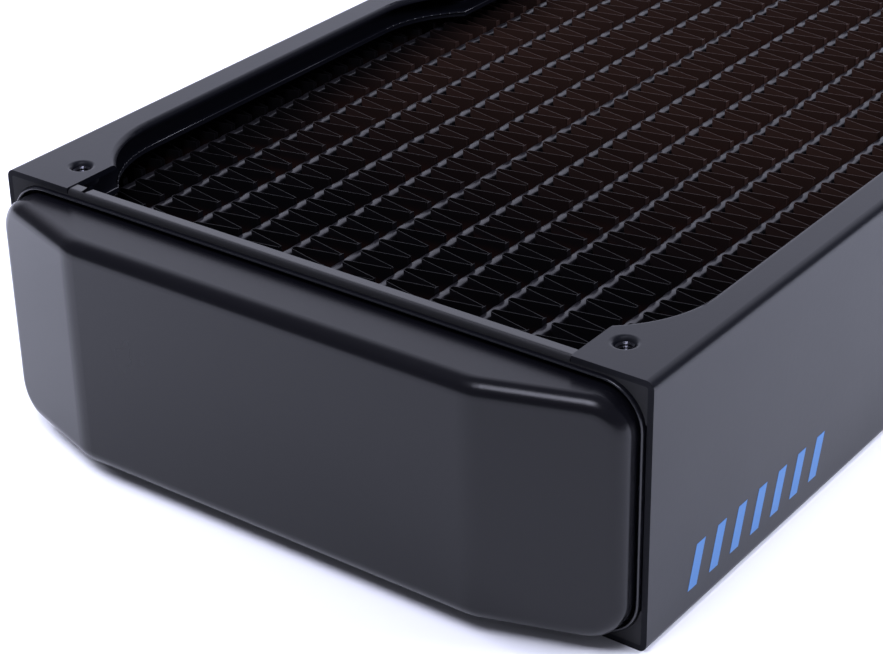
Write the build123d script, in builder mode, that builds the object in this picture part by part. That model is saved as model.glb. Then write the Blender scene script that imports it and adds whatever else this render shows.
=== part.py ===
"""Liquid cooling radiator for two 120 mm fans: a brazed tube and fin core between two tanks,
clad in folded side panels.  Millimetres, +Z up, X across the width, Y along the length.
The blank return tank is at -Y and the tank with the threaded ports at +Y.
"""
from build123d import *
import os
from math import acos, atan2, sin, tan

os.makedirs("parts", exist_ok=True)

# ---------------------------------------------------------------- driving dimensions
width = 124.0                # over the two side panels
height = 45.0                # over the fan flanges
fan_count = 2
fan_size = 120.0             # one fan module along the length
hole_spacing = 105.0         # fan screw spacing, both ways
return_depth = 11.2          # how far the blank tank stands out of the side panels
port_depth = 24.8            # the same for the tank with the ports

# side panels and their scalloped fan flanges
sheet = 1.0
bend_radius = 1.4
pad_width = 13.6             # flange width at the screw pads
strip_width = 6.5            # flange width beside the fan
pad_length = 27.0            # from a module's end to where the narrow strip starts
scallop_radius = 20.7
screw_radius = 1.5           # M3
screw_collar = 1.1           # wall of the drawn and tapped collar
screw_collar_depth = 1.7     # how far the collar reaches below the flange
dimple_radius = 0.9          # soft rim where the collar was drawn

# plates that keep long fan screws off the tubes
guard_sheet = 0.8
guard_depth = 4.3            # from the flange's outer face to the plate
guard_end_gap = 4.6

# core
tube_count = 12
tube_thickness = 2.0
tube_depth = 30.2
tube_wall = 0.3
fin_depth = 31.8             # its folds stand just proud of the tubes' edges
fin_sheet = 0.12
fin_period = 4.6
fin_crest = 0.5              # half of the flat crest that is brazed to a tube
fin_end_gap = 4.8

# headers, tanks and the strips that close the panels' ends
header_sheet = 0.5
header_floor = 2.0           # from the panels' end to the header's slotted floor
header_lip = 0.5             # how far its rim stands out of the panels' end
header_half_width = 60.8
header_half_height = 21.2
header_corner = 7.0
tube_overhang = 1.0          # tube end standing into the tank
tank_sheet = 1.0
tank_side_gap = 0.3          # solder groove between the tank and the header's rim
tank_top_gap = 0.6
tank_edge = 2.6              # rounded outer edge of the pressed tank
tank_fold = 10.0             # soft fold between the tank's end and its slanted corners
return_straight = 4.2        # straight side wall of the blank tank, from the panels' end
return_face_half = 38.6      # half of its flat end face
port_straight = 20.5
port_face_half = 53.0
strip_depth = 2.2
strip_drop = 0.15            # its top below the flanges' faces
strip_bend = 0.8
strip_clearance = 0.05
notch_width = 1.9
notch_depth = 1.7
notch_place = 3.0            # from the left flange's edge
gusset_height = 6.0

# G 1/4 ports and stop plugs
thread_radius = 5.9
boss_radius = 8.7
boss_length = 8.5
boss_proud = 0.3
port_spacing = 70.0
port_inset = 10.3            # from the panels' end to the ports' axes
plug_head_radius = 8.2
plug_head = 1.6
plug_length = 6.5
plug_clearance = 0.05
socket_across = 6.0
socket_depth = 4.0
seal_radius = 0.5
seal_ring = 7.0

# ---------------------------------------------------------------- worked out from those
housing = fan_count * fan_size
length = housing + return_depth + port_depth
return_end = -length / 2 + return_depth      # Y of the panels' end at the blank tank
port_end = return_end + housing              # Y of their end at the port tank
mid_z = height / 2
half_width = width / 2
inner_half = half_width - sheet
fin_height = (2 * inner_half - tube_count * tube_thickness) / (tube_count + 1)
tube_pitch = fin_height + tube_thickness
pad_edge = half_width - pad_width
strip_edge = half_width - strip_width
tank_half_width = header_half_width - header_sheet - tank_side_gap
tank_half_height = header_half_height - header_sheet - tank_top_gap
tank_corner = header_corner - header_sheet - tank_side_gap
half_way = Plane.XZ.offset(-(return_end + port_end) / 2)
mid_plane = Plane.XY.offset(mid_z)
module_starts = [return_end + i * fan_size for i in range(fan_count)]


def save(shape, name):
    """Label one finished piece and write it."""
    shape.label = name
    export_step(shape, "parts/" + name + ".step")


# ---------------------------------------------------------------- side panels
def scallop(start):
    """Half of one fan opening, from the centre line out to the flange's scalloped edge."""
    turn = acos(1 - (strip_edge - pad_edge) / scallop_radius)
    jog = start + pad_length - scallop_radius * sin(turn)
    far = start + fan_size
    with BuildSketch() as opening:
        with BuildLine():
            low = RadiusArc((pad_edge, jog), (strip_edge, start + pad_length), -scallop_radius)
            side = Line(low @ 1, (strip_edge, far - pad_length))
            high = RadiusArc(side @ 1, (pad_edge, far - (jog - start)), -scallop_radius)
            Polyline(high @ 1, (pad_edge - 20, (high @ 1).Y), (pad_edge - 20, jog), low @ 0)
        make_face()
    return opening.sketch


def make_side_panel():
    """The right panel: a channel with two flanges, scalloped at each fan, with drawn M3 holes."""
    inside = bend_radius - sheet
    screws = [(half_width - (width - hole_spacing) / 2, start + offset)
              for start in module_starts
              for offset in ((fan_size - hole_spacing) / 2, (fan_size + hole_spacing) / 2)]
    with BuildPart() as panel:
        with BuildSketch(Plane.XZ.offset(-return_end)):
            with BuildLine():
                outer = FilletPolyline((pad_edge, 0), (half_width, 0), (half_width, height),
                                       (pad_edge, height), radius=bend_radius)
                inner = FilletPolyline((pad_edge, sheet), (inner_half, sheet),
                                       (inner_half, height - sheet), (pad_edge, height - sheet),
                                       radius=inside)
                Line(outer @ 0, inner @ 0)
                Line(outer @ 1, inner @ 1)
            make_face()
        extrude(amount=-housing)
        for start in module_starts:
            add(extrude(scallop(start), amount=height), mode=Mode.SUBTRACT)
        collar = screw_radius + screw_collar
        for plane in (Plane.XY.offset(height - sheet), Plane.XY.offset(sheet)):
            outward = 1 if plane.origin.Z > mid_z else -1
            with BuildSketch(plane):
                with Locations(*screws):
                    Circle(collar)
            extrude(amount=-outward * screw_collar_depth)
        with BuildSketch(Plane.XY):
            with Locations(*screws):
                Circle(screw_radius)
        extrude(amount=height, mode=Mode.SUBTRACT)
        for face_height in (0, height):
            rims = panel.edges().filter_by(GeomType.CIRCLE).filter_by_position(
                Axis.Z, face_height - 0.01, face_height + 0.01)
            fillet(rims, dimple_radius)
    return panel


# ---------------------------------------------------------------- screw guards
def make_guard():
    """The upper right guard: a scalloped ledge under the flange with a leg up to the flange."""
    top = height - guard_depth
    leg = height - bend_radius - top
    run = housing - 2 * guard_end_gap
    with BuildPart() as guard:
        with BuildSketch(Plane.XZ.offset(-(return_end + guard_end_gap))):
            with BuildLine():
                Polyline((pad_edge, top), (inner_half - guard_sheet, top),
                         (inner_half - guard_sheet, top + leg), (inner_half, top + leg),
                         (inner_half, top - guard_sheet), (pad_edge, top - guard_sheet), close=True)
            make_face()
        extrude(amount=-run)
        for start in module_starts:
            add(extrude(scallop(start), amount=height), mode=Mode.SUBTRACT)
    return guard


# ---------------------------------------------------------------- end strips
def make_end_strip():
    """The upper strip at the blank tank: a bar level with the flanges on tongues under them.

    The tongues carry a rounded gusset in each corner, around the header's rim.
    """
    top = height - sheet
    rounding = bend_radius - sheet
    gap_half_width = header_half_width + 0.1
    gap_half_height = header_half_height + strip_clearance
    with BuildPart() as strip:
        with BuildSketch(Plane.XZ.offset(-return_end)):
            with Locations((0, mid_z)):
                RectangleRounded(2 * inner_half, height - 2 * sheet, rounding)
                RectangleRounded(2 * gap_half_width, 2 * gap_half_height, header_corner,
                                 mode=Mode.SUBTRACT)
            with Locations((0, (top - gusset_height) / 2 - height / 4)):
                Rectangle(width, top - gusset_height + height / 2, mode=Mode.SUBTRACT)
        extrude(amount=-sheet)
        with BuildSketch(Plane.XY.offset(top)):
            with Locations((0, return_end + strip_depth / 2)):
                Rectangle(2 * (inner_half - rounding), strip_depth)
        extrude(amount=-(top - mid_z - gap_half_height))
        with BuildSketch(Plane.XY.offset(top)):
            with Locations((0, return_end + strip_depth / 2)):
                Rectangle(2 * (pad_edge - strip_drop), strip_depth)
        extrude(amount=sheet - strip_drop)
        with BuildSketch(Plane.XY.offset(height)):
            with Locations((notch_place - pad_edge, return_end + strip_depth)):
                Trapezoid(notch_width, 2 * notch_depth, 80, rotation=180)
        extrude(amount=-2 * sheet, mode=Mode.SUBTRACT)
        bend = strip.edges().filter_by(Axis.X).group_by(Axis.Z)[-1].group_by(Axis.Y)[0]
        fillet(bend, strip_bend)
    return strip


# ---------------------------------------------------------------- headers
def make_header():
    """The header at the blank tank: a shallow tray with a rim, slotted for the tubes."""
    rim = header_floor + header_lip
    front = return_end - header_lip
    with BuildPart() as header:
        with BuildSketch(Plane.XZ.offset(-front)):
            with Locations((0, mid_z)):
                RectangleRounded(2 * header_half_width, 2 * header_half_height, header_corner)
        extrude(amount=-(rim + header_sheet))
        with BuildSketch(Plane.XZ.offset(-front)):
            with Locations((0, mid_z)):
                RectangleRounded(2 * (header_half_width - header_sheet),
                                 2 * (header_half_height - header_sheet),
                                 header_corner - header_sheet)
        extrude(amount=-rim, mode=Mode.SUBTRACT)
        with BuildSketch(Plane.XZ.offset(-(front + rim))):
            with Locations(*[(tube_place(i), mid_z) for i in range(tube_count)]):
                SlotOverall(tube_depth, tube_thickness, rotation=90)
        extrude(amount=-header_sheet, mode=Mode.SUBTRACT)
    return header


# ---------------------------------------------------------------- tube and fin core
def tube_place(i):
    """X of a tube's middle plane."""
    return (i - (tube_count - 1) / 2) * tube_pitch


def make_tube(x):
    """One flat brass tube with round edges, open at both ends."""
    run = housing - 2 * (header_floor - tube_overhang)
    with BuildPart() as tube:
        with BuildSketch(Plane.XZ.offset(-(return_end + header_floor - tube_overhang))):
            with Locations((x, mid_z)):
                SlotOverall(tube_depth, tube_thickness, rotation=90)
                SlotOverall(tube_depth - 2 * tube_wall, tube_thickness - 2 * tube_wall,
                            rotation=90, mode=Mode.SUBTRACT)
        extrude(amount=-run)
    return tube


def fin_chain(x, side, crests, start):
    """One face of the folded strip, as corner points along the length."""
    lean = atan2(fin_height - fin_sheet, fin_period / 2 - 2 * fin_crest)
    mitre = fin_sheet / 2 * tan(lean / 2)
    points = []
    for k in range(crests):
        sign = 1 if k % 2 else -1
        y = start + (k + 0.5) * fin_period / 2
        half = fin_crest + side * sign * mitre
        out = x + sign * (fin_height - fin_sheet) / 2 + side * fin_sheet / 2
        points += [(out, y - half), (out, y + half)]
    return points


def make_fin_strip(x):
    """One serpentine fin strip, folded from thin copper, its crests on the tubes beside it."""
    room = housing - 2 * fin_end_gap
    crests = int(room / (fin_period / 2))
    start = return_end + (housing - crests * fin_period / 2) / 2
    outline = fin_chain(x, 1, crests, start) + fin_chain(x, -1, crests, start)[::-1]
    with BuildPart() as fins:
        with BuildSketch(Plane.XY.offset(mid_z - fin_depth / 2)):
            with BuildLine():
                Polyline(*outline, close=True)
            make_face()
        extrude(amount=fin_depth)
    return fins


# ---------------------------------------------------------------- tanks
def tank_envelope(depth, straight, face_half, inset):
    """A tank's outer form at the blank end, moved inwards by inset all round."""
    back = return_end + header_floor
    face = return_end - depth + inset
    side = tank_half_width - inset
    turn = atan2(tank_half_width - face_half, depth - straight)
    shoulder = return_end - straight + inset * tan(turn / 2)
    flat = side - tan(turn) * (shoulder - face)
    with BuildPart() as body:
        with BuildSketch(Plane.XZ.offset(-back)):
            with Locations((0, mid_z)):
                RectangleRounded(2 * side, 2 * (tank_half_height - inset), tank_corner - inset)
        extrude(amount=back - face)
        with BuildSketch(Plane.XY):
            with BuildLine():
                Polyline((-side, back), (-side, shoulder), (-flat, face), (flat, face),
                         (side, shoulder), (side, back), close=True)
            make_face()
        extrude(amount=height, mode=Mode.INTERSECT)
        fillet(body.edges().filter_by(Axis.Z).group_by(Axis.Y)[0], tank_fold - inset)
        across = body.edges().filter_by(Axis.Y, reverse=True)
        front = across.filter_by(lambda edge: edge.center().Y < back - 1)
        folds = front.filter_by(Axis.Z).filter_by(lambda edge: abs(edge.center().X) < side - 1)
        fillet(front - folds, tank_edge - inset)
    return body.part


def make_tank(depth, straight, face_half):
    """A pressed tank, open towards its header."""
    with BuildPart() as tank:
        add(tank_envelope(depth, straight, face_half, 0))
        add(tank_envelope(depth, straight, face_half, tank_sheet), mode=Mode.SUBTRACT)
    return tank


def port_places():
    """Name and outward-facing place of each port, on the port tank's walls."""
    y = port_end + port_inset
    x = port_spacing / 2
    top = mid_z + tank_half_height
    bottom = mid_z - tank_half_height
    side = tank_half_width
    return {
        "top_left": Plane((-x, y, top), z_dir=(0, 0, 1)),
        "top_right": Plane((x, y, top), z_dir=(0, 0, 1)),
        "bottom_left": Plane((-x, y, bottom), z_dir=(0, 0, -1)),
        "bottom_right": Plane((x, y, bottom), z_dir=(0, 0, -1)),
        "side_left": Plane((-side, y, mid_z), z_dir=(-1, 0, 0)),
        "side_right": Plane((side, y, mid_z), z_dir=(1, 0, 0)),
    }


def make_port_tank():
    """The tank with the ports: a pressed shell with a round seat for each threaded boss."""
    with BuildPart() as tank:
        add(mirror(make_tank(port_depth, port_straight, port_face_half).part, about=half_way))
        for plane in port_places().values():
            with BuildSketch(plane.offset(-2 * tank_sheet)):
                Circle(boss_radius)
            extrude(amount=3 * tank_sheet, mode=Mode.SUBTRACT)
    return tank


def make_divider():
    """The wall in the port tank that sends the coolant down one half and back up the other."""
    floor = port_end - header_floor
    reach = port_end + port_depth - tank_sheet - floor
    tall = 2 * (tank_half_height - tank_sheet)
    with BuildPart() as divider:
        with BuildSketch(Plane.YZ.offset(-tank_sheet / 2)):
            with Locations((floor + reach / 2, mid_z)):
                outline = Rectangle(reach, tall)
            fillet(outline.vertices().group_by(Axis.X)[-1], tank_edge - tank_sheet)
        extrude(amount=tank_sheet)
    return divider


# ---------------------------------------------------------------- ports, plugs and seals
def make_boss(plane):
    """A turned G 1/4 boss soldered into the tank's wall."""
    with BuildPart() as boss:
        with BuildSketch(plane.offset(boss_proud - boss_length)):
            Circle(boss_radius)
            Circle(thread_radius, mode=Mode.SUBTRACT)
        extrude(amount=boss_length)
        mouth = boss.edges().filter_by(GeomType.CIRCLE)
        outward = mouth.filter_by(lambda edge: plane.to_local_coords(edge.center()).Z > 0)
        chamfer(outward, boss_proud * 0.6)
    return boss


def make_plug(plane):
    """A stop plug: a low head over the boss, a stem in its thread and a hexagon socket."""
    seat = plane.offset(boss_proud)
    with BuildPart() as plug:
        with BuildSketch(seat):
            Circle(plug_head_radius)
        extrude(amount=plug_head)
        top = plug.edges().filter_by(GeomType.CIRCLE)
        chamfer(top.filter_by(lambda edge: seat.to_local_coords(edge.center()).Z > 0.1), 0.4)
        with BuildSketch(seat.offset(-plug_length)):
            Circle(thread_radius - plug_clearance)
        extrude(amount=plug_length)
        with BuildSketch(seat):
            Circle(seal_ring + seal_radius)
            Circle(seal_ring - seal_radius, mode=Mode.SUBTRACT)
        extrude(amount=2 * seal_radius, mode=Mode.SUBTRACT)
        with BuildSketch(seat.offset(plug_head)):
            RegularPolygon(socket_across / 2, 6, major_radius=False)
        extrude(amount=-socket_depth, mode=Mode.SUBTRACT)
    return plug


def make_seal(plane):
    """The rubber ring in the groove under a plug's head."""
    with BuildPart() as seal:
        with Locations(plane.offset(boss_proud + seal_radius).location):
            Torus(seal_ring, seal_radius)
    return seal


# ---------------------------------------------------------------- the whole radiator
panel = make_side_panel()
save(panel.part, "side_panel_right")
save(mirror(panel.part, about=Plane.YZ), "side_panel_left")

guard = make_guard()
guard_mirrored = mirror(guard.part, about=Plane.YZ)
save(guard.part, "screw_guard_top_right")
save(guard_mirrored, "screw_guard_top_left")
save(mirror(guard.part, about=mid_plane), "screw_guard_bottom_right")
save(mirror(guard_mirrored, about=mid_plane), "screw_guard_bottom_left")

strip = make_end_strip()
turned = strip.part.rotate(Axis((0, 0, mid_z), (0, 1, 0)), 180)
save(strip.part, "end_strip_return_top")
save(turned, "end_strip_return_bottom")
save(mirror(strip.part, about=half_way), "end_strip_port_top")
save(mirror(turned, about=half_way), "end_strip_port_bottom")

header = make_header()
save(header.part, "header_return")
save(mirror(header.part, about=half_way), "header_port")

for i in range(tube_count):
    save(make_tube(tube_place(i)).part, f"tube_{i + 1:02d}")
for i in range(tube_count + 1):
    save(make_fin_strip(tube_place(i) - tube_pitch / 2).part, f"fin_strip_{i + 1:02d}")

return_tank = make_tank(return_depth, return_straight, return_face_half)
save(return_tank.part, "return_tank")
save(make_port_tank().part, "port_tank")
save(make_divider().part, "port_tank_divider")

plugged = ("bottom_left", "bottom_right", "side_left", "side_right")
for name, plane in port_places().items():
    save(make_boss(plane).part, "port_boss_" + name)
    if name in plugged:
        save(make_plug(plane).part, "stop_plug_" + name)
        save(make_seal(plane).part, "plug_seal_" + name)
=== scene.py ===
"""Looks for the liquid cooling radiator: satin black sheet metal round a tube and fin core."""
import math
import random

import bmesh
import bpy
from mathutils import Euler, Matrix, Vector


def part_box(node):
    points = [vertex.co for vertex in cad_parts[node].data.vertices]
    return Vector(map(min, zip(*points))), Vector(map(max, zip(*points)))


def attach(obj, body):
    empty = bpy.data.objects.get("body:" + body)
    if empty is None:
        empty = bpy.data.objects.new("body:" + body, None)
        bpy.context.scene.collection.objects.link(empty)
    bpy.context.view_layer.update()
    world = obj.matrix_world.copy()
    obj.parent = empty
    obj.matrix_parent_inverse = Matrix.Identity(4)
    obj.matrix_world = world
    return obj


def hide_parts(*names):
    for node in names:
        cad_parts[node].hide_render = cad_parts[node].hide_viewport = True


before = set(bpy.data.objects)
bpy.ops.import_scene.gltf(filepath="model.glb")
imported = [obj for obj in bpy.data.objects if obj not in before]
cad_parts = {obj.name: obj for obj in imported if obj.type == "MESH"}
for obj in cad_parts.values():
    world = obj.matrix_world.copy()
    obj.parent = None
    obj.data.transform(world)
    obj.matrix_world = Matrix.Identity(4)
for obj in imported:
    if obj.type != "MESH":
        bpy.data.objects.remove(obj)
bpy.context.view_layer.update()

MM = 0.001  # sizes are given in millimetres, and the frame is in metres


# ---------------------------------------------------------------- camera
# A long lens looks down at the corner between the blank tank and the right side panel. It aims
# at the upper fan face near that corner and is rolled a degree off level.
AIM = Vector((28.8, -130.3, 45.0)) * MM
DISTANCE = 328.3 * MM
AZIMUTH, ELEVATION, ROLL = math.radians(36.93), math.radians(28.45), math.radians(-1.11)
LENS_MM, SENSOR_MM = 94.5, 36.0

turn = Euler((math.pi / 2 - ELEVATION, 0, AZIMUTH)).to_matrix() @ Matrix.Rotation(ROLL, 3, "Z")
camera_data = bpy.data.cameras.new("camera")
camera_data.lens = LENS_MM
camera_data.sensor_width = SENSOR_MM
camera_data.clip_start = 0.01
camera = bpy.data.objects.new("camera", camera_data)
camera.matrix_world = Matrix.Translation(AIM + turn @ Vector((0, 0, DISTANCE))) @ turn.to_4x4()
bpy.context.scene.collection.objects.link(camera)
bpy.context.scene.camera = camera


# ---------------------------------------------------------------- studio
# A white sweep in a pale room that is bright behind on the left and dim everywhere else, with a
# soft box overhead. Three lamps that don't show in glossy faces brighten the sweep: one high up,
# one low at the left and one low at the right. The lamps share the room's cool white.
SKY_COLOUR, SWEEP_COLOUR = "#e5e7fc", "#f7f8fa"
SKY_BRIGHT, SKY_DIM = 1.48, 0.2
SWEEP_HALF = 3.0
# The bright part of the room, by direction: how far back, how low and how far left it starts, and
# where it is full.
BACK_START, BACK_FULL = -0.15, 0.4
LOW_START, LOW_FULL = 0.86, 0.66
LEFT_START, LEFT_FULL = 0.45, 0.0


def linear(code):
    """An sRGB hex value as a linear colour."""
    parts = [int(code[i:i + 2], 16) / 255 for i in (1, 3, 5)]
    return [c / 12.92 if c < 0.04045 else ((c + 0.055) / 1.055) ** 2.4 for c in parts] + [1.0]


def add_node(tree, kind, inputs=None, **settings):
    """One shader node with its settings; inputs maps a socket's name to a value or a socket."""
    node = tree.nodes.new("ShaderNode" + kind)
    for key, value in settings.items():
        setattr(node, key, value)
    for key, value in (inputs or {}).items():
        if isinstance(value, bpy.types.NodeSocket):
            tree.links.new(value, node.inputs[key])
        else:
            node.inputs[key].default_value = value
    return node


def new_material(name):
    """An empty node material and its tree."""
    material = bpy.data.materials.new(name)
    material.use_nodes = True
    material.node_tree.nodes.clear()
    return material, material.node_tree


def mesh_object(name, bm):
    """A bmesh made into an object that stands at the origin."""
    mesh = bpy.data.meshes.new(name)
    bm.to_mesh(mesh)
    bm.free()
    piece = bpy.data.objects.new(name, mesh)
    bpy.context.scene.collection.objects.link(piece)
    return piece


bpy.context.scene.view_settings.view_transform = "Standard"
world = bpy.data.worlds.new("pale_room")
world.use_nodes = True
tree = world.node_tree
tree.nodes.clear()
toward = add_node(tree, "SeparateXYZ", {"Vector": add_node(tree, "TexCoord").outputs["Generated"]})
back = add_node(tree, "MapRange", {"Value": toward.outputs["Y"], "From Min": BACK_START,
                                   "From Max": BACK_FULL}, interpolation_type="SMOOTHSTEP")
low = add_node(tree, "MapRange", {"Value": toward.outputs["Z"], "From Min": LOW_START,
                                  "From Max": LOW_FULL}, interpolation_type="SMOOTHSTEP")
left = add_node(tree, "MapRange", {"Value": toward.outputs["X"], "From Min": LEFT_START,
                                   "From Max": LEFT_FULL}, interpolation_type="SMOOTHSTEP")
back_low = add_node(tree, "Math", {0: back.outputs[0], 1: low.outputs[0]}, operation="MULTIPLY")
window = add_node(tree, "Math", {0: back_low.outputs[0], 1: left.outputs[0]},
                  operation="MULTIPLY")
level = add_node(tree, "MapRange", {"Value": window.outputs[0], "To Min": SKY_DIM,
                                    "To Max": SKY_BRIGHT})
sky = add_node(tree, "Background", {"Color": linear(SKY_COLOUR), "Strength": level.outputs[0]})
add_node(tree, "OutputWorld", {"Surface": sky.outputs[0]})
bpy.context.scene.world = world

sweep_bm = bmesh.new()
bmesh.ops.create_grid(sweep_bm, x_segments=1, y_segments=1, size=SWEEP_HALF)
sweep = mesh_object("sweep", sweep_bm)
sweep_paper, tree = new_material("white_sweep_paper")
paper = add_node(tree, "BsdfPrincipled", {"Base Color": linear(SWEEP_COLOUR),
                                          "Roughness": 0.95, "Specular IOR Level": 0.1})
add_node(tree, "OutputMaterial", {"Surface": paper.outputs[0]})
sweep.data.materials.append(sweep_paper)


def soft_light(name, place, aim, size, watts, shows_in_gloss=True):
    """A square area light at place that faces aim, in metres."""
    data = bpy.data.lights.new(name, "AREA")
    data.size = size
    data.energy = watts
    data.color = linear(SKY_COLOUR)[:3]
    light = bpy.data.objects.new(name, data)
    light.location = place
    light.rotation_euler = (Vector(aim) - Vector(place)).to_track_quat("-Z", "Y").to_euler()
    light.visible_glossy = shows_in_gloss
    bpy.context.scene.collection.objects.link(light)


soft_light("overhead_softbox", (0.06, -0.62, 1.15), (0, -0.08, 0.03), 0.5, 10.5)
soft_light("sweep_lamp", (0, 0.25, 1.6), (0, 0.2, 0), 1.2, 7.0, False)
soft_light("left_sweep_lamp", (-0.34, -0.22, 0.3), (-0.15, -0.16, 0), 0.2, 2.0, False)
soft_light("right_sweep_lamp", (0.4, 0.12, 0.32), (0.19, 0.0, 0), 0.2, 3.0, False)


# ---------------------------------------------------------------- folded sheet metal
# Side panels, end strips, screw guards and headers are folded or pressed sheet, sprayed with
# black powder and baked. The coat is satin, a little blue, and faintly uneven.
PEEL_MM, PEEL_DEPTH_MM = 1.1, 0.1
CLOUD_MM, CLOUD_ROUGHNESS = 17.0, 0.03
# How squarely a face looks along the radiator where it starts to count as a cut one, and where
# it fully does.
CUT_START, CUT_FULL = 0.25, 0.8


def powder_coat(name, colour, roughness, peel=0.05, ior=1.36, cut_roughness=0.0):
    """Powder-coated sheet: an even satin black whose fine orange peel softens reflections.

    cut_roughness is added on faces that look along the radiator: there the sheet was cut, and
    the powder lies thin and dull."""
    material, tree = new_material(name)
    coord = add_node(tree, "TexCoord")
    place = coord.outputs["Object"]
    ripple = add_node(tree, "TexNoise", {"Vector": place, "Scale": 1 / (PEEL_MM * MM),
                                         "Detail": 2.0})
    bump = add_node(tree, "Bump", {"Height": ripple.outputs[0], "Strength": peel,
                                   "Distance": PEEL_DEPTH_MM * MM})
    cloud = add_node(tree, "TexNoise", {"Vector": place, "Scale": 1 / (CLOUD_MM * MM),
                                        "Detail": 3.0})
    patchy = add_node(tree, "MapRange", {"Value": cloud.outputs[0],
                                         "To Min": roughness - CLOUD_ROUGHNESS,
                                         "To Max": roughness + CLOUD_ROUGHNESS})
    along = add_node(tree, "SeparateXYZ", {"Vector": coord.outputs["Normal"]}).outputs["Y"]
    facing = add_node(tree, "Math", {0: along}, operation="ABSOLUTE")
    dull = add_node(tree, "MapRange", {"Value": facing.outputs[0], "From Min": CUT_START,
                                       "From Max": CUT_FULL, "To Max": cut_roughness})
    rough = add_node(tree, "Math", {0: patchy.outputs[0], 1: dull.outputs[0]}, operation="ADD")
    coat = add_node(tree, "BsdfPrincipled", {"Base Color": linear(colour), "IOR": ior,
                                             "Roughness": rough.outputs[0],
                                             "Normal": bump.outputs[0]})
    add_node(tree, "OutputMaterial", {"Surface": coat.outputs[0]})
    return material


def finish_nodes(prefix, material):
    """Give the CAD nodes whose names start with prefix a material."""
    for name in sorted(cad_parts):
        if name.startswith(prefix):
            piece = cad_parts[name]
            piece.data.materials.clear()
            piece.data.materials.append(material)


# The panels and guards have the plain satin: a soft grey sheen and no sharp reflection.
panel_coat = powder_coat("satin_powder_coat_on_folded_steel", "#0b0c11", 0.32,
                         ior=1.345, cut_roughness=0.6)
finish_nodes("side_panel", panel_coat)
finish_nodes("screw_guard", panel_coat)
# The narrow end strips took more powder: a deeper black that shines more on its rounded edge.
strip_coat = powder_coat("satin_powder_coat_on_end_strip", "#08080b", 0.26,
                         peel=0.03, ior=1.62, cut_roughness=0.7)
finish_nodes("end_strip", strip_coat)
# The headers' coat lies between the two.
header_coat = powder_coat("satin_powder_coat_on_header", "#0b0b10", 0.3,
                          ior=1.4, cut_roughness=0.6)
finish_nodes("header", header_coat)


# ---------------------------------------------------------------- screw hole threads
# The fan screws bite into threads tapped in the drawn collars of the sixteen flange holes.
# The tap leaves their crests almost bare, so they glint inside the dark holes.
HOLE_X, HOLE_ROWS = 52.5, (-119.3, -14.3, 0.7, 105.7)
# The height where a thread starts, and 1 if it runs down from there or -1 if it runs up.
HOLE_MOUTHS = ((44.45, 1), (0.55, -1))
THREAD_PITCH, THREAD_TURNS, THREAD_STEPS = 0.5, 5, 24
THREAD_CREST, THREAD_ROOT, THREAD_WALL = 1.22, 1.48, 0.04
MERGE_MM = 0.01
GRAIN_ROUGHNESS = 0.05


def worked_surface(name, shades, metallic, roughness, grain_mm):
    """A cut, plated, printed or moulded surface: two near shades and a roughness that drift."""
    material, tree = new_material(name)
    place = add_node(tree, "TexCoord").outputs["Object"]
    grain = add_node(tree, "TexNoise", {"Vector": place, "Scale": 1 / (grain_mm * MM),
                                        "Detail": 3.0})
    shade = add_node(tree, "Mix", {"Factor": grain.outputs[0], "A": linear(shades[0]),
                                   "B": linear(shades[1])}, data_type="RGBA")
    rough = add_node(tree, "MapRange", {"Value": grain.outputs[0],
                                        "To Min": roughness - GRAIN_ROUGHNESS,
                                        "To Max": roughness + GRAIN_ROUGHNESS})
    surface = add_node(tree, "BsdfPrincipled", {"Base Color": shade.outputs["Result"],
                                                "Metallic": metallic,
                                                "Roughness": rough.outputs[0]})
    add_node(tree, "OutputMaterial", {"Surface": surface.outputs[0]})
    return material


def add_thread(bm, centre, start, down, crest, root, pitch, turns, steps):
    """An inside thread round a vertical axis: a zigzag swept into a helix from height start."""
    zigzag = []
    for k in range(2 * turns + 1):
        radius = crest if k % 2 else root
        zigzag.append(bm.verts.new((centre[0] + radius, centre[1], start - down * k * pitch / 2)))
    edges = [bm.edges.new(pair) for pair in zip(zigzag, zigzag[1:])]
    bmesh.ops.spin(bm, geom=zigzag + edges, cent=(*centre, start), axis=(0, 0, 1),
                   dvec=(0, 0, -down * pitch / steps), angle=2 * math.pi, steps=steps,
                   use_merge=False)


def wall_thread(bm, thickness):
    """Close the helix where its turns meet and give it a thin wall."""
    bmesh.ops.remove_doubles(bm, verts=bm.verts[:], dist=MERGE_MM)
    bmesh.ops.recalc_face_normals(bm, faces=bm.faces[:])
    bmesh.ops.solidify(bm, geom=bm.faces[:], thickness=thickness)


def finish_piece(name, bm, material, replaced=None):
    """Scale a bmesh from millimetres, make it a piece of the radiator and give it its looks."""
    bmesh.ops.scale(bm, verts=bm.verts[:], vec=(MM, MM, MM))
    piece = mesh_object(name, bm)
    piece.data.materials.append(material)
    if replaced:
        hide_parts(replaced)
    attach(piece, "root")
    return piece


thread_steel = worked_surface("rubbed_black_on_tapped_steel", ("#2a2a2f", "#333338"),
                              0.8, 0.22, 0.6)
thread_bm = bmesh.new()
for x in (-HOLE_X, HOLE_X):
    for y in HOLE_ROWS:
        for start, down in HOLE_MOUTHS:
            add_thread(thread_bm, (x, y), start, down, THREAD_CREST, THREAD_ROOT, THREAD_PITCH,
                       THREAD_TURNS, THREAD_STEPS)
wall_thread(thread_bm, THREAD_WALL)
finish_piece("m3_hole_threads", thread_bm, thread_steel)


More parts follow.
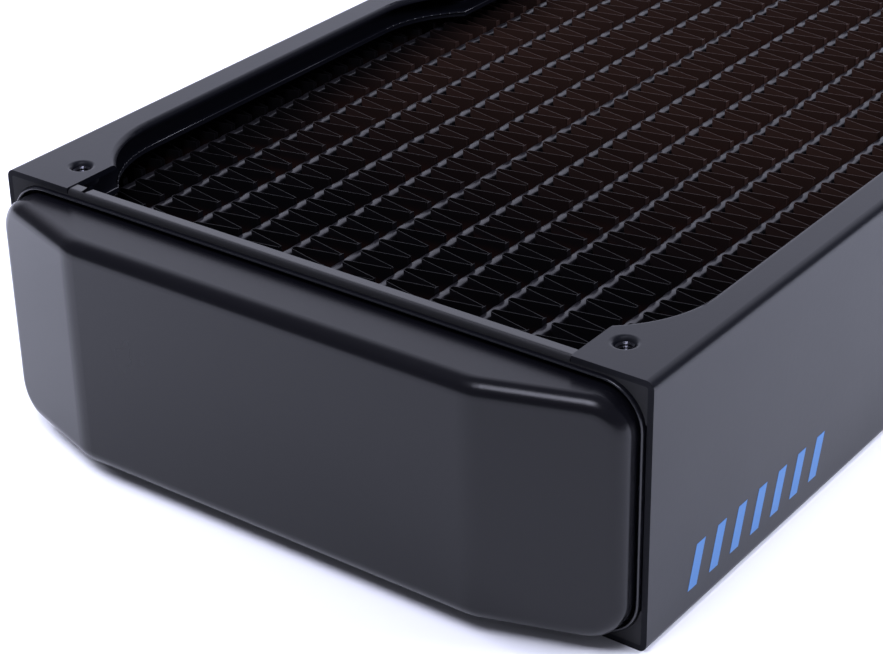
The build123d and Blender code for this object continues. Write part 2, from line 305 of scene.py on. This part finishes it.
# ---------------------------------------------------------------- header rims
# The rim of each header is hemmed over to a small round bead that stands just clear of the
# panels' ends. The powder flows out smooth and glossy on it, so it draws a fine light line.
RIM_HALF_WIDTH, RIM_HALF_HEIGHT, RIM_CORNER = 60.52, 20.92, 6.72
RIM_ENDS, RIM_RADIUS, RIM_MIDDLE = (-127.25, 113.65), 0.24, 22.5
BEAD_SIDES, CORNER_STEPS = 8, 10


def add_bead(bm, y):
    """A round bead led along the rim: four straight runs and four quarter turns of one circle."""
    half_run = RIM_HALF_WIDTH - RIM_CORNER
    start = Matrix.Translation((-half_run, y, RIM_MIDDLE + RIM_HALF_HEIGHT))
    across = Matrix.Rotation(math.pi / 2, 4, "Y")
    circle = bmesh.ops.create_circle(bm, segments=BEAD_SIDES, radius=RIM_RADIUS,
                                     matrix=start @ across)
    end = list({e for v in circle["verts"] for e in v.link_edges})
    direction = Vector((1, 0, 0))
    for run in (2 * half_run, 2 * (RIM_HALF_HEIGHT - RIM_CORNER)) * 2:
        grown = bmesh.ops.extrude_edge_only(bm, edges=end)["geom"]
        verts = [g for g in grown if isinstance(g, bmesh.types.BMVert)]
        end = [g for g in grown if isinstance(g, bmesh.types.BMEdge)
               and all(v in verts for v in g.verts)]
        bmesh.ops.translate(bm, verts=verts, vec=run * direction)
        middle = sum((v.co for v in verts), Vector()) / len(verts)
        inward = Vector((direction.z, 0, -direction.x))
        turned = bmesh.ops.spin(bm, geom=verts + end, cent=middle + RIM_CORNER * inward,
                                axis=(0, 1, 0), angle=math.pi / 2, steps=CORNER_STEPS,
                                use_merge=False)
        end = [g for g in turned["geom_last"] if isinstance(g, bmesh.types.BMEdge)]
        direction = inward


rim_bm = bmesh.new()
for y in RIM_ENDS:
    add_bead(rim_bm, y)
bmesh.ops.remove_doubles(rim_bm, verts=rim_bm.verts[:], dist=MERGE_MM)
bmesh.ops.recalc_face_normals(rim_bm, faces=rim_bm.faces[:])
for face in rim_bm.faces:
    face.smooth = True
rim_coat = powder_coat("flowed_out_black_on_header_rim", "#101116", 0.24, peel=0.0, ior=1.5)
finish_piece("header_rim_beads", rim_bm, rim_coat)


# ---------------------------------------------------------------- screw guard hems
# The scalloped inner edge of each guard's ledge is rolled over to a hair-thin hem, under the same
# flowed-out coat as the rims. It catches the light all along the opening.
LEDGE_TOP, LEDGE_BOTTOM, LEG_INSIDE = 40.7, 4.3, 59.5
HEM_RADIUS, HEM_SIDES = 0.16, 6
# A facet gets a rod if it lies inside the guard's leg and its normal is this flat and points this
# far inwards, and then only along its edges this near the ledge's level.
FLAT_NORMAL, INWARD_NORMAL, LEVEL_MM = 0.1, 0.05, 0.02


def add_rod(bm, a, b, radius):
    """A straight round rod from a to b for one facet of a curved hem."""
    aim = (b - a).to_track_quat("Z", "Y").to_matrix().to_4x4()
    bmesh.ops.create_cone(bm, cap_ends=True, segments=HEM_SIDES, radius1=radius, radius2=radius,
                          depth=(b - a).length, matrix=Matrix.Translation((a + b) / 2) @ aim)


hem_bm = bmesh.new()
for name in sorted(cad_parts):
    if name.startswith("screw_guard"):
        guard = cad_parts[name]
        corners = [guard.matrix_world @ v.co / MM for v in guard.data.vertices]
        level = LEDGE_TOP if "top" in name else LEDGE_BOTTOM
        side = math.copysign(1, sum(c.x for c in corners))
        for face in guard.data.polygons:
            loop = [corners[i] for i in face.vertices]
            inner = face.normal.x * side < -INWARD_NORMAL and abs(loop[0].x) < LEG_INSIDE
            if abs(face.normal.z) < FLAT_NORMAL and inner:
                for a, b in zip(loop, loop[1:] + loop[:1]):
                    if max(abs(a.z - level), abs(b.z - level)) < LEVEL_MM:
                        add_rod(hem_bm, a, b, HEM_RADIUS)
for face in hem_bm.faces:
    face.smooth = len(face.verts) == 4
finish_piece("screw_guard_hems", hem_bm, rim_coat)


# ---------------------------------------------------------------- side stripes
# A plain row of slanted dashes printed in blue ink near the end of the right side panel. The ink
# is a thin, fairly glossy film.
DASHES, DASH_WIDTH, DASH_PITCH = 7, 2.5, 6.1
DASH_FIRST, DASH_LOW, DASH_HIGH, DASH_LEAN = -115.6, 4.4, 11.6, 2.2
PANEL_FACE, INK_MM = 62.0, 0.03

ink = worked_surface("screen_printed_blue_ink", ("#2668a6", "#2a6daa"), 0.0, 0.35, 3.0)
stripe_bm = bmesh.new()
for k in range(DASHES):
    y = DASH_FIRST + k * DASH_PITCH
    corners = ((y, DASH_LOW), (y + DASH_WIDTH, DASH_LOW),
               (y + DASH_WIDTH + DASH_LEAN, DASH_HIGH), (y + DASH_LEAN, DASH_HIGH))
    stripe_bm.faces.new([stripe_bm.verts.new((PANEL_FACE, a, b)) for a, b in corners])
grown = bmesh.ops.extrude_face_region(stripe_bm, geom=stripe_bm.faces[:])["geom"]
bmesh.ops.translate(stripe_bm, vec=(INK_MM, 0, 0),
                    verts=[g for g in grown if isinstance(g, bmesh.types.BMVert)])
bmesh.ops.recalc_face_normals(stripe_bm, faces=stripe_bm.faces[:])
finish_piece("blue_side_stripes", stripe_bm, ink)


# ---------------------------------------------------------------- tanks
# Two pressed brass tanks soldered into the headers' rims and sprayed with the same black
# powder. The coat lies smoother on the big soft faces than on the folded sheet.
tank_coat = powder_coat("satin_powder_coat_on_pressed_tank", "#09090d", 0.26,
                        peel=0.03, ior=1.335)
finish_nodes("return_tank", tank_coat)
finish_nodes("port_tank", tank_coat)
# The divider inside the port tank, like the ports' threads, is bare brass: yellow and half bright.
brass = worked_surface("bare_cut_brass", ("#b38d4b", "#bd9754"), 1.0, 0.36, 2.0)
finish_nodes("port_tank_divider", brass)


# ---------------------------------------------------------------- tubes
# Flat brass tubes brazed between the headers. They are sprayed from both open faces, so their
# edges are black, and solder wicked up at every fin crest leaves the edges a little lumpy.
TUBE_HALF = 0.8
TUBE_BEVEL, TUBE_BEVEL_STEPS = 0.32, 2
TUBE_STEP = 1.15
TUBE_LUMP = 0.09
TUBE_DIP = 1.6 * TUBE_LUMP

# Sprayed on in the assembled core, so the coat is rougher in texture than on the flat sheet.
tube_coat = powder_coat("sprayed_black_on_flat_brass_tube", "#171619", 0.3, peel=0.25, ior=1.4)
chance = random.Random(7)


def make_tube(name):
    """One flat tube with softly bevelled edges, its top and bottom made slightly lumpy."""
    low, high = (Vector(corner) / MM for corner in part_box(name))
    centre = (low.x + high.x) / 2
    bm = bmesh.new()
    ring = [bm.verts.new((centre + x, low.y, z)) for x, z in (
        (-TUBE_HALF, low.z), (TUBE_HALF, low.z), (TUBE_HALF, high.z), (-TUBE_HALF, high.z))]
    for a, b in zip(ring, ring[1:] + ring[:1]):
        bm.edges.new((a, b))
    bmesh.ops.bevel(bm, geom=bm.verts[:], affect="VERTICES", offset=TUBE_BEVEL,
                    segments=TUBE_BEVEL_STEPS, profile=0.5, material=-1)
    rim = bm.edges[:]
    bmesh.ops.edgeloop_fill(bm, edges=rim)
    steps = int((high.y - low.y) / TUBE_STEP)
    for _ in range(steps):
        grown = bmesh.ops.extrude_edge_only(bm, edges=rim)["geom"]
        verts = [g for g in grown if isinstance(g, bmesh.types.BMVert)]
        rim = [g for g in grown if isinstance(g, bmesh.types.BMEdge)
               and all(v in verts for v in g.verts)]
        bmesh.ops.translate(bm, verts=verts, vec=(0, (high.y - low.y) / steps, 0))
    bmesh.ops.edgeloop_fill(bm, edges=rim)
    middle = (low.z + high.z) / 2
    sag = {}
    for v in bm.verts:
        if abs(v.co.z - middle) > (high.z - low.z) / 2 - 2 * TUBE_BEVEL:
            key = (round(v.co.y, 2), v.co.z > middle)
            if key not in sag:
                sag[key] = (chance.uniform(-1, 1), chance.uniform(0, 1))
            side, dip = sag[key]
            v.co.x += TUBE_LUMP * side
            v.co.z -= math.copysign(TUBE_DIP * dip, v.co.z - middle)
    bmesh.ops.recalc_face_normals(bm, faces=bm.faces[:])
    piece = finish_piece(name.replace("tube", "flat_tube"), bm, tube_coat, name)
    for face in piece.data.polygons:
        face.use_smooth = True


for name in sorted(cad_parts):
    if name.startswith("tube"):
        make_tube(name)


# ---------------------------------------------------------------- fins
# Serpentine strips of thin copper folded to and fro between the tubes, a little unevenly and
# each cut off at its own place in the fold. Spray covers their edges and thins out deeper in.
FIN_SHEET = 0.1
FIN_PERIOD = 4.6
FIN_BOTTOM, FIN_TOP = 6.5, 38.5
FIN_START = -126.8
LEFT_FLAT, RIGHT_FLAT = 0.42, 0.24
FOLD_RADIUS, FOLD_STEPS = 0.3, 2
CREST_LEAN = 0.1
FOLD_SHAKE, SIDE_SHARE = 0.13, 0.5
# How far after FIN_START a wave of each strip begins.
FIN_PHASES = (2.0, 0.6, 3.9, 2.9, 1.7, 0.3, 1.1, 4.4, 3.4, 0.9, 2.6, 4.0, 1.5)

# The sheet is dull black where the spray took, turns brown further from the blank tank, and is
# dark copper where the spray missed. It reaches in from both fan faces: the metal is bare up to
# SPRAY_BARE from the middle height and covered from SPRAY_FULL on, and patches some 22 mm across
# move that border inwards by up to SPRAY_SHIFT.
SPRAY_BLACK_AND_PAINTED_SHADE, FIN_BROWN, BARE_COPPER = "#09080a", "#2c1e19", "#3c241d"
SPRAY_BARE, SPRAY_FULL, SPRAY_SHIFT, PATCHES_PER_METRE = 13.5, 17.8, 6.0, 45.0
# Near the blank tank the fins stay black, and they turn brown between the Y places. Near the left
# panel they are painted black as shade for the panel's shadow, which fades out between the X
# places.
BROWN_START_Y, BROWN_FULL_Y = -100.0, -25.0
PANEL_SHADE_FULL_X, PANEL_SHADE_GONE_X = -55.0, -38.0

fin_paint, tree = new_material("black_spray_and_painted_shade_on_copper_fin")
place = add_node(tree, "TexCoord").outputs["Object"]
spot = add_node(tree, "SeparateXYZ", {"Vector": place})
mid_height = (FIN_BOTTOM + FIN_TOP) / 2 * MM
offset = add_node(tree, "Math", {0: spot.outputs["Z"], 1: mid_height}, operation="SUBTRACT")
from_middle = add_node(tree, "Math", {0: offset.outputs[0]}, operation="ABSOLUTE")
patches = add_node(tree, "TexNoise", {"Vector": place, "Scale": PATCHES_PER_METRE,
                                      "Detail": 4.0})
spray = add_node(tree, "Math", {0: patches.outputs[0], 1: SPRAY_SHIFT * MM,
                                2: from_middle.outputs[0]}, operation="MULTIPLY_ADD")
cover = add_node(tree, "MapRange", {"Value": spray.outputs[0], "From Min": SPRAY_BARE * MM,
                                    "From Max": SPRAY_FULL * MM},
                 interpolation_type="SMOOTHSTEP")
inwards = add_node(tree, "MapRange", {"Value": spot.outputs["Y"],
                                      "From Min": BROWN_START_Y * MM,
                                      "From Max": BROWN_FULL_Y * MM},
                   interpolation_type="SMOOTHSTEP")
# Painted shade: the fins go black near the left panel, where its shadow falls on them.
past_panel_shade = add_node(tree, "MapRange", {"Value": spot.outputs["X"],
                                       "From Min": PANEL_SHADE_FULL_X * MM,
                                       "From Max": PANEL_SHADE_GONE_X * MM},
                    interpolation_type="SMOOTHSTEP")
# Brown only where both masks allow it; the black left near the left panel is painted shade.
thin = add_node(tree, "Math", {0: inwards.outputs[0], 1: past_panel_shade.outputs[0]},
                operation="MULTIPLY")
black_brown_and_painted_shade = add_node(tree, "Mix", {"Factor": thin.outputs[0], "A": linear(SPRAY_BLACK_AND_PAINTED_SHADE),
                              "B": linear(FIN_BROWN)}, data_type="RGBA")
colour = add_node(tree, "Mix", {"Factor": cover.outputs[0], "A": linear(BARE_COPPER),
                                "B": black_brown_and_painted_shade.outputs["Result"]}, data_type="RGBA")
metal = add_node(tree, "MapRange", {"Value": cover.outputs[0], "To Min": 0.75, "To Max": 0.0})
fin_shader = add_node(tree, "BsdfPrincipled", {"Base Color": colour.outputs["Result"],
                                               "Metallic": metal.outputs[0], "Roughness": 0.5,
                                               "IOR": 1.25})
add_node(tree, "OutputMaterial", {"Surface": fin_shader.outputs[0]})


def make_fin_strip(name, phase):
    """One folded strip that fills the channel of its CAD node and stands a little proud."""
    low, high = (Vector(corner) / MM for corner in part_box(name))
    centre = (low.x + high.x) / 2
    reach = (high.x - low.x) / 2 + CREST_LEAN
    first = low.y - (low.y - FIN_START - phase) % FIN_PERIOD
    fold = [(-reach, -LEFT_FLAT), (-reach, LEFT_FLAT),
            (reach, FIN_PERIOD / 2 - RIGHT_FLAT), (reach, FIN_PERIOD / 2 + RIGHT_FLAT)]
    waves = int((high.y - first) / FIN_PERIOD) + 1
    bm = bmesh.new()
    path = []
    for k in range(waves):
        shake = [chance.uniform(-FOLD_SHAKE, FOLD_SHAKE) for _ in range(4)]
        for i, (x, y) in enumerate(fold):
            path.append(bm.verts.new((centre + x + SIDE_SHARE * shake[i // 2],
                                      first + y + shake[2 + i // 2] + k * FIN_PERIOD,
                                      FIN_BOTTOM)))
    for a, b in zip(path, path[1:]):
        bm.edges.new((a, b))
    bmesh.ops.bevel(bm, geom=bm.verts[:], affect="VERTICES", offset=FOLD_RADIUS,
                    segments=FOLD_STEPS, profile=0.5, material=-1)
    grown = bmesh.ops.extrude_edge_only(bm, edges=bm.edges[:])["geom"]
    bmesh.ops.translate(bm, verts=[g for g in grown if isinstance(g, bmesh.types.BMVert)],
                        vec=(0, 0, FIN_TOP - FIN_BOTTOM))
    for y, side in ((low.y, -1), (high.y, 1)):
        bmesh.ops.bisect_plane(bm, geom=bm.verts[:] + bm.edges[:] + bm.faces[:],
                               plane_co=(0, y, 0), plane_no=(0, side, 0), clear_outer=True)
    bmesh.ops.recalc_face_normals(bm, faces=bm.faces[:])
    bmesh.ops.solidify(bm, geom=bm.faces[:], thickness=FIN_SHEET)
    finish_piece(name.replace("fin_strip", "folded_fins"), bm, fin_paint, name)


fin_names = [name for name in sorted(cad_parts) if name.startswith("fin_strip")]
for name, phase in zip(fin_names, FIN_PHASES):
    make_fin_strip(name, phase)


# ---------------------------------------------------------------- ports
# Turned brass bosses soldered into the port tank and sprayed with it, with G 1/4 threads cut
# after spraying. Four of them carry nickel-plated plugs on rubber rings.
PORT_PITCH, PORT_TURNS, PORT_STEPS = 1.34, 5, 48
PORT_CREST, PORT_ROOT, PORT_LEAD_IN = 5.45, 5.87, 0.9

# The bosses shine a little more than the tank, because turning left them smooth under the coat.
boss_coat = powder_coat("sprayed_black_on_turned_brass_boss", "#121318", 0.24, peel=0.02)
finish_nodes("port_boss", boss_coat)
# The plating gives the plugs a bright, faintly warm grey, and the moulded rings are matt.
plug_nickel = worked_surface("nickel_plate_on_turned_brass", ("#aba8a2", "#bab7b1"),
                             1.0, 0.3, 1.5)
finish_nodes("stop_plug", plug_nickel)
seal_rubber = worked_surface("moulded_black_rubber", ("#0e0e0f", "#131314"), 0.0, 0.7, 0.8)
finish_nodes("plug_seal", seal_rubber)

port_bm = bmesh.new()
for name in sorted(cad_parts):
    if name.startswith("port_boss_top"):
        low, high = (Vector(corner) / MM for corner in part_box(name))
        centre = ((low.x + high.x) / 2, (low.y + high.y) / 2)
        add_thread(port_bm, centre, high.z - PORT_LEAD_IN, 1, PORT_CREST, PORT_ROOT,
                   PORT_PITCH, PORT_TURNS, PORT_STEPS)
wall_thread(port_bm, THREAD_WALL)
finish_piece("open_port_threads", port_bm, brass)
